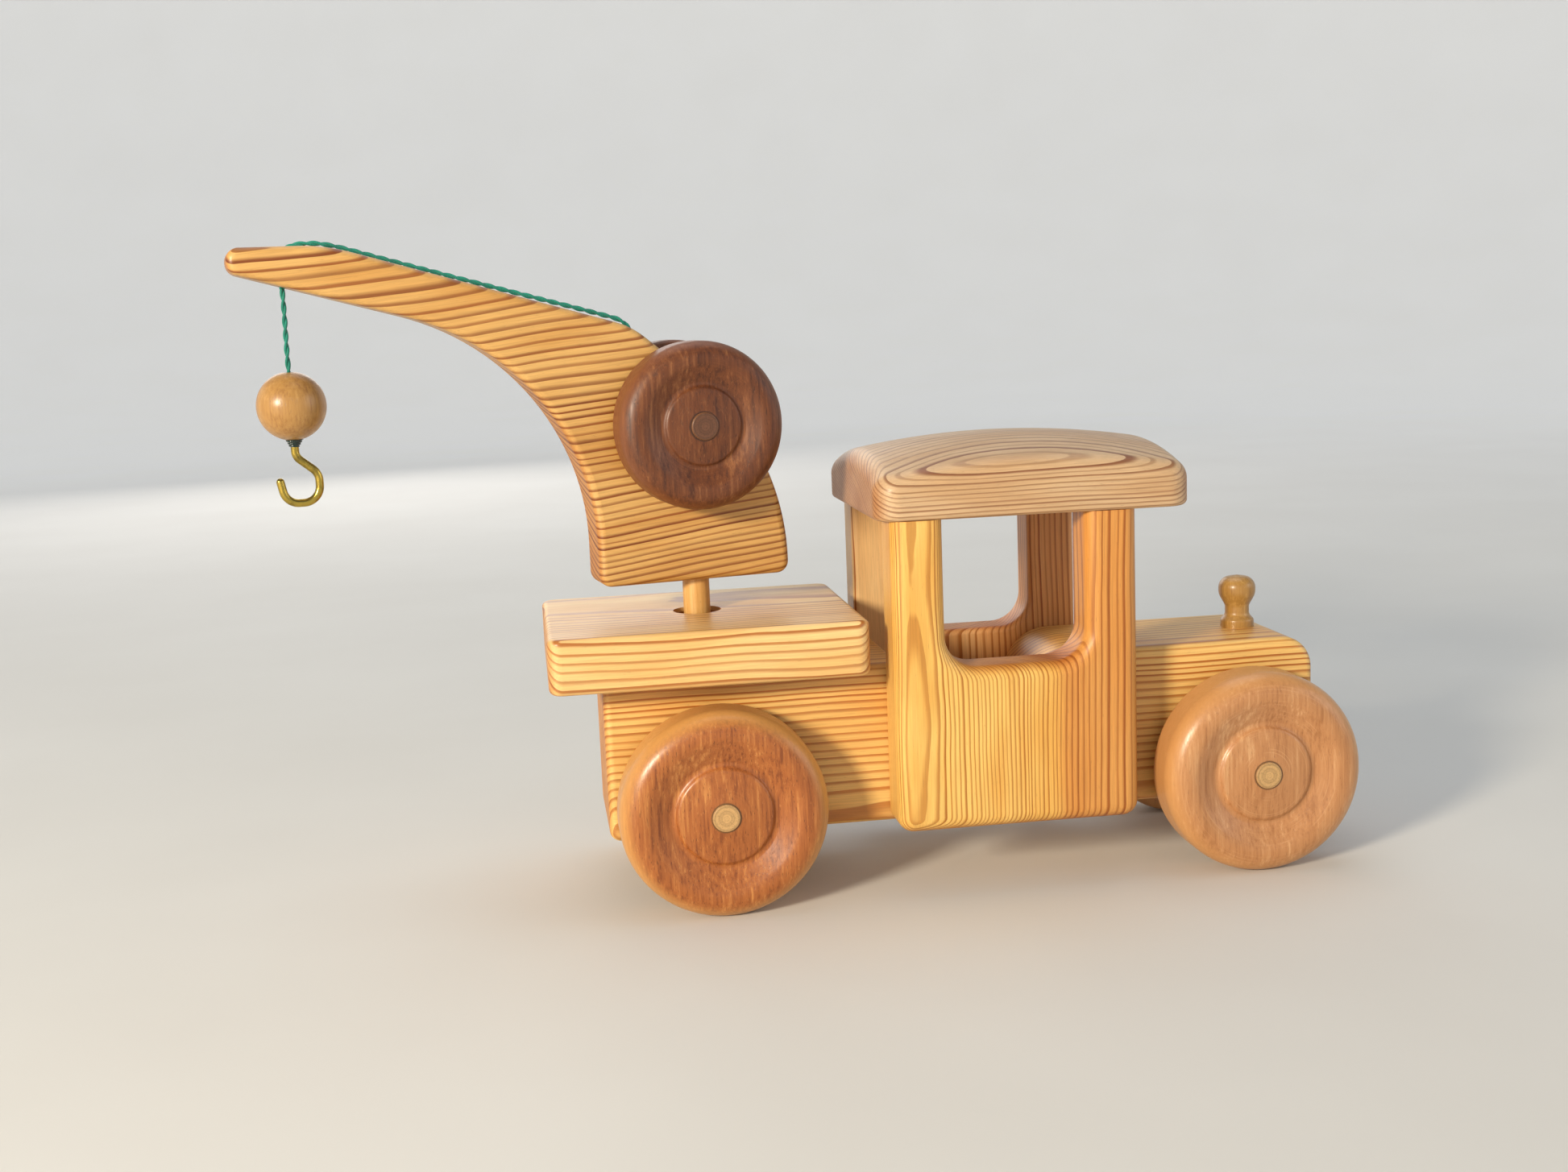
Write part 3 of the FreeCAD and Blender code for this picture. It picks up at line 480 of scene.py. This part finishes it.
def brass():
    """Yellow brass with a brown bloom in patches, fine scratches and bright worn edges."""
    recipe = Recipe("brass_worn")
    point = recipe.place(middle("hook"))
    cloud = recipe.noise(point, 4.0, 0.6, 1 / 6)
    bloom = recipe.step(cloud, 0.42, 0.68)
    speck = recipe.step(recipe.noise(point, 2.0, 0.6, 1.4), 0.62, 0.74)
    scratch_place = recipe.vector(
        recipe.times(recipe.along(point, (0.8, 0.2, 0.5)), 4.0),
        recipe.times(recipe.along(point, (0.0, 1.0, 0.3)), 0.5),
        recipe.times(recipe.along(point, (-0.5, 0.1, 0.8)), 0.5),
    )
    scratch = recipe.noise(scratch_place, 3.0, 0.7)
    metal = recipe.mix(bloom, colour("BCA24C"), colour("84723A"))
    metal = recipe.mix(recipe.times(speck, 0.55), metal, colour("5A4720"))
    edge = recipe.edge(0.8)
    metal = recipe.mix(recipe.times(edge, 0.5), metal, colour("E6D694"))
    rough = recipe.add(recipe.step(bloom, 0.0, 1.0, 0.2, 0.4), recipe.times(speck, 0.2))
    rough = recipe.add(rough, recipe.times(scratch, 0.06))
    height = recipe.add(recipe.times(scratch, 0.4), recipe.times(cloud, 0.8))
    return recipe.surface(
        Base_Color=metal,
        Metallic=1.0,
        Roughness=rough,
        Normal=recipe.relief(height, 0.12, 0.4),
    )


# ---------------------------------------------------------------- cord

STRAND_RADIUS = 0.5 * MM
STRAND_OFFSET = 0.44 * MM
STRAND_PITCH = 9.4 * MM
STRAND_STEP = 0.45 * MM
STRAND_SIDES = 9


def cord_material(name, base, light, dark, gloss=0.75):
    """Cotton cord: fine fibres, dirt in the lay and a soft sheen."""
    recipe = Recipe(name)
    point = recipe.place(Vector((0, 0, 0)))
    fibres = recipe.noise(point, 3.0, 0.7, 5.5)
    tone = recipe.noise(point, 2.0, 0.5, 1 / 7)
    yarn = recipe.mix(recipe.step(fibres, 0.3, 0.7), colour(dark), colour(base))
    yarn = recipe.mix(recipe.step(fibres, 0.55, 0.8), yarn, colour(light))
    yarn = recipe.shade(yarn, recipe.step(tone, 0.3, 0.7, 0.8, 1.12))
    return recipe.surface(
        Base_Color=yarn,
        Roughness=gloss,
        Sheen_Weight=0.35,
        Sheen_Roughness=0.4,
        Normal=recipe.relief(fibres, 0.1, 0.7),
    )


def spline_points(name, points):
    """Points along the smooth NURBS line that has these control points."""
    data = bpy.data.curves.new(name + "_line", "CURVE")
    data.dimensions = "3D"
    data.resolution_u = 16
    line = data.splines.new("NURBS")
    line.points.add(len(points) - 1)
    for control, point in zip(line.points, points):
        control.co = (*point, 1.0)
    line.order_u = 3
    line.use_endpoint_u = True
    route = bpy.data.objects.new(name + "_route", data)
    bpy.context.scene.collection.objects.link(route)
    bpy.context.view_layer.update()
    evaluated = route.evaluated_get(bpy.context.evaluated_depsgraph_get())
    mesh = bpy.data.meshes.new_from_object(evaluated)
    found = [vertex.co.copy() for vertex in mesh.vertices]
    bpy.data.meshes.remove(mesh)
    bpy.data.objects.remove(route)
    bpy.data.curves.remove(data)
    return found


def evenly(points, step):
    """The same line with points about one step apart."""
    length = sum((b - a).length for a, b in zip(points, points[1:]))
    count = max(2, round(length / step))
    gap = length / count
    spaced, travelled, target = [points[0]], 0.0, gap
    for a, b in zip(points, points[1:]):
        run = (b - a).length
        while target <= travelled + run + gap * 1e-6 and len(spaced) < count:
            spaced.append(a.lerp(b, min(1.0, (target - travelled) / run)))
            target += gap
        travelled += run
    return spaced + [points[-1]]


def directions(points):
    ends = zip(points[:1] + points[:-1], points[1:] + points[-1:])
    return [(after - before).normalized() for before, after in ends]


def carried_frames(points):
    """A direction square to the line at each point, carried along it without twist."""
    headings = directions(points)
    first_across = Vector((0.21, 0.93, 0.31))      # any direction that no line starts in
    square = square_to(first_across, headings[0])
    frames = []
    for heading in headings:
        square = square_to(square, heading)
        frames.append((square, heading.cross(square)))
    return frames


def skin(form, rings):
    """Joins each closed ring of points to the next with four-sided faces."""
    for first, second in zip(rings, rings[1:]):
        for index in range(len(first)):
            following = (index + 1) % len(first)
            form.faces.new((first[index], first[following], second[following], second[index]))


def close_ends(form, rings):
    form.faces.new(list(reversed(rings[0])))
    form.faces.new(rings[-1])


def turns(count):
    """That many equal angles round a full turn."""
    return [2 * math.pi * index / count for index in range(count)]


def sweep(form, points, radius, sides):
    """Adds a closed tube round the points to a bmesh."""
    rings = []
    for point, (across, over) in zip(points, carried_frames(points)):
        rings.append([
            form.verts.new(point + (across * math.cos(turn) + over * math.sin(turn)) * radius)
            for turn in turns(sides)
        ])
    skin(form, rings)
    close_ends(form, rings)


def to_object(form, name):
    bmesh.ops.recalc_face_normals(form, faces=form.faces)
    mesh = bpy.data.meshes.new(name)
    form.to_mesh(mesh)
    form.free()
    for face in mesh.polygons:
        face.use_smooth = True
    piece = bpy.data.objects.new(name, mesh)
    bpy.context.scene.collection.objects.link(piece)
    return piece


def two_ply(name, line, material):
    """Two strands laid round each other along a line of points."""
    points = evenly(line, STRAND_STEP)
    frames = carried_frames(points)
    form = bmesh.new()
    for strand in range(2):
        helix = []
        for index, (point, (across, over)) in enumerate(zip(points, frames)):
            turn = 2 * math.pi * (index * STRAND_STEP / STRAND_PITCH + strand / 2)
            helix.append(point + (across * math.cos(turn) + over * math.sin(turn)) * STRAND_OFFSET)
        sweep(form, helix, STRAND_RADIUS, STRAND_SIDES)
    piece = to_object(form, name)
    paint(material, piece)
    return piece


def in_crane(along, height, across=0.0):
    """A point of the crane's own upright plane, as millimetres along it from the post, above
    the ground and across it."""
    foot = joint_point("crane_swivel")
    foot.z = 0.0
    swing = joint_axis("winch_spin")
    flat = foot + crane_reach() * (along * MM) + swing * (across * MM)
    return flat + UPRIGHT * (height * MM)


def line_over_boom(material):
    """The line climbs from the winding, lies along the top of the arm and turns down through
    the hole at its tip, held by the wood all the way."""
    route = [
        in_crane(-8.0, 171.5, 1.2),
        in_crane(-10.2, 178.5, 0.9),
        in_crane(-18.4, 203.0, 0.2),
        in_crane(-21.4, 211.2, 0.0),
        in_crane(-30.0, 214.0, 0.0),
        in_crane(-72.0, 226.0, 0.1),
        in_crane(-108.0, 236.6, 0.1),
        in_crane(-125.5, 241.9, 0.0),
        in_crane(-133.5, 242.0, 0.0),
        in_crane(-138.2, 241.2, 0.0),
        in_crane(-140.4, 236.8, 0.0),
        in_crane(-140.7, 226.9, 0.0),
    ]
    piece = two_ply("crane_line", spline_points("crane_line", route), material)
    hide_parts("line_on_boom")
    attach(piece, "crane")
    return piece


def line_winding(material):
    """Four wraps side by side on the winch axle."""
    axis = joint_axis("winch_spin")
    across = square_to(UPRIGHT, axis)
    over = axis.cross(across)
    centre = joint_point("winch_spin")
    wraps, points_per_wrap = 4, 16
    wound_radius, width = 5.8 * MM, 5.3 * MM
    # control points stand a little outside the circle that the spline follows
    control_radius = wound_radius / math.cos(math.pi / points_per_wrap) ** 2
    route = []
    for index in range(wraps * points_per_wrap + 1):
        wrap = index / points_per_wrap
        turn = 2 * math.pi * wrap
        shift = width * (wrap / wraps - 0.5)
        spoke = across * math.cos(turn) + over * math.sin(turn)
        route.append(centre + axis * shift + spoke * control_radius)
    piece = two_ply("winch_winding", spline_points("winch_winding", route), material)
    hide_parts("line_on_drum")
    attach(piece, "winch")
    return piece


def hanging_line(material):
    """The free length between the boom's tip and the bead, pulled nearly straight by the hook."""
    low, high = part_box("line_hanging")
    route = [
        in_crane(-140.7, high.z / MM),
        in_crane(-140.55, 219.5, 0.1),
        in_crane(-140.85, 206.0, -0.15),
        in_crane(-140.6, 195.0, 0.1),
        in_crane(-140.7, low.z / MM),
    ]
    line = spline_points("hook_line", route)
    piece = two_ply("hook_line", line, material)
    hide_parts("line_hanging")
    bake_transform(piece)
    [tuple(point) for point in evenly(line, STRAND_STEP)]
    return piece


def line_knot(material):
    """The whipped and glued end of the line: a cone of close turns under the bead."""
    low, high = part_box("line_knot")
    centre = middle("line_knot")
    top_radius, foot_radius = 3.05 * MM, 1.65 * MM
    wraps, rows_per_wrap, sides = 3, 8, 48
    wrap_bulge, lump = 0.13 * MM, 0.05 * MM
    rows = wraps * rows_per_wrap
    form = bmesh.new()
    rings = []
    for row in range(rows + 1):
        share = row / rows
        height = high.z + (low.z - high.z) * share
        cone = top_radius + (foot_radius - top_radius) * share ** 0.8
        ring = []
        for turn in turns(sides):
            size = cone + wrap_bulge * math.cos(2 * math.pi * share * wraps - turn)
            size += lump * math.sin(3 * turn + 5 * share)
            x, y = centre.x + size * math.cos(turn), centre.y + size * math.sin(turn)
            ring.append(form.verts.new((x, y, height)))
        rings.append(ring)
    skin(form, rings)
    close_ends(form, rings)
    piece = to_object(form, "hook_knot")
    paint(material, piece)
    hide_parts("line_knot")
    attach(piece, "hook_block")
    return piece


def make_line():
    green = cord_material("cord_green", "0A957E", "3CBBA2", "066052")
    line_over_boom(green)
    line_winding(green)
    hanging_line(green)
    glued = cord_material("cord_glued", "0A2B24", "1F5044", "04120F", gloss=0.2)
    line_knot(glued)


# ---------------------------------------------------------------- stage, light and camera

def floor_material():
    """Matt pale grey that glows a little far from the truck, as an evenly lit backdrop does."""
    recipe = Recipe("stage_floor")
    point = recipe.place(Vector((0, 0, 0)))
    cloud = recipe.noise(point, 3.0, 0.5, 1 / 180)
    tint = recipe.mix(cloud, colour("D6D3CC"), colour("E0DED8"))
    radius = recipe.calculate("SQRT", recipe.along(point, point))
    return recipe.surface(
        Base_Color=tint,
        Roughness=0.85,
        Specular_IOR_Level=0.2,
        Emission_Color=colour("E4E6E8"),
        Emission_Strength=recipe.step(radius, 250, 2800, 0.0, 0.42),
    )


def build_stage():
    """A pale round floor whose rim curves up a long way off, so that no horizon line shows."""
    inner_radius, flat_radius, curve_radius, wall_height = 0.6, 3.4, 1.6, 3.2
    segments, curve_steps = 96, 12
    profile = [(inner_radius, 0.0), (flat_radius, 0.0)]
    for index in range(1, curve_steps + 1):
        turn = math.pi / 2 * index / curve_steps
        out, up = math.sin(turn), 1 - math.cos(turn)
        profile.append((flat_radius + curve_radius * out, curve_radius * up))
    profile.append((flat_radius + curve_radius, wall_height))
    form = bmesh.new()
    circle = [(math.cos(turn), math.sin(turn)) for turn in turns(segments)]
    rings = [
        [form.verts.new((radius * x, radius * y, height)) for x, y in circle]
        for radius, height in profile
    ]
    form.faces.new(rings[0])
    skin(form, rings)
    floor = to_object(form, "stage_floor")
    paint(floor_material(), floor)


def area_light(name, position, target, size, power, tint):
    data = bpy.data.lights.new(name, "AREA")
    data.shape = "DISK"
    data.size = size
    data.energy = power
    data.color = tint
    light = bpy.data.objects.new(name, data)
    light.location = position
    light.rotation_euler = (Vector(target) - Vector(position)).to_track_quat("-Z", "Y").to_euler()
    bpy.context.scene.collection.objects.link(light)


def build_light():
    target = (0.0, 0.0, 0.1)
    area_light("key_light", (-1.15, -1.2, 0.62), target, 0.3, 34, (1.0, 0.88, 0.7))
    area_light("top_light", (0.1, 0.4, 1.7), target, 1.5, 8, (0.82, 0.91, 1.0))
    area_light("side_light", (1.5, -0.6, 0.6), target, 1.0, 3.5, (0.95, 0.96, 1.0))
    area_light("back_light", (-0.3, 1.7, 0.8), target, 1.2, 6, (1.0, 0.95, 0.9))
    world = bpy.data.worlds.new("studio")
    world.use_nodes = True
    world.node_tree.nodes["Background"].inputs["Color"].default_value = (0.78, 0.86, 1.0, 1.0)
    world.node_tree.nodes["Background"].inputs["Strength"].default_value = 0.22
    bpy.context.scene.world = world


def build_camera():
    """The camera stands low and a little behind the middle of the truck's right side."""
    position = Vector((-0.1029, -0.6737, 0.2157))
    yaw, pitch, roll = (math.radians(degrees) for degrees in (-8.03, -8.80, -2.30))
    forward = Vector((
        -math.sin(yaw) * math.cos(pitch), math.cos(yaw) * math.cos(pitch), math.sin(pitch)))
    level = Vector((math.cos(yaw), math.sin(yaw), 0.0))
    above = level.cross(forward)
    right = level * math.cos(roll) + above * math.sin(roll)
    top = above * math.cos(roll) - level * math.sin(roll)
    data = bpy.data.cameras.new("camera")
    data.sensor_width = 36.0
    data.lens = 42.04
    data.clip_start = 0.01
    camera = bpy.data.objects.new("camera", data)
    turned = Matrix((right, top, -forward)).transposed().to_4x4()
    camera.matrix_world = Matrix.Translation(position) @ turned
    bpy.context.scene.collection.objects.link(camera)
    bpy.context.scene.camera = camera


build_camera()
build_light()
build_stage()
make_line()
paint_boards()
paint_turned_pieces()
paint(brass(), "hook")
bpy.context.scene.view_settings.view_transform = "Standard"
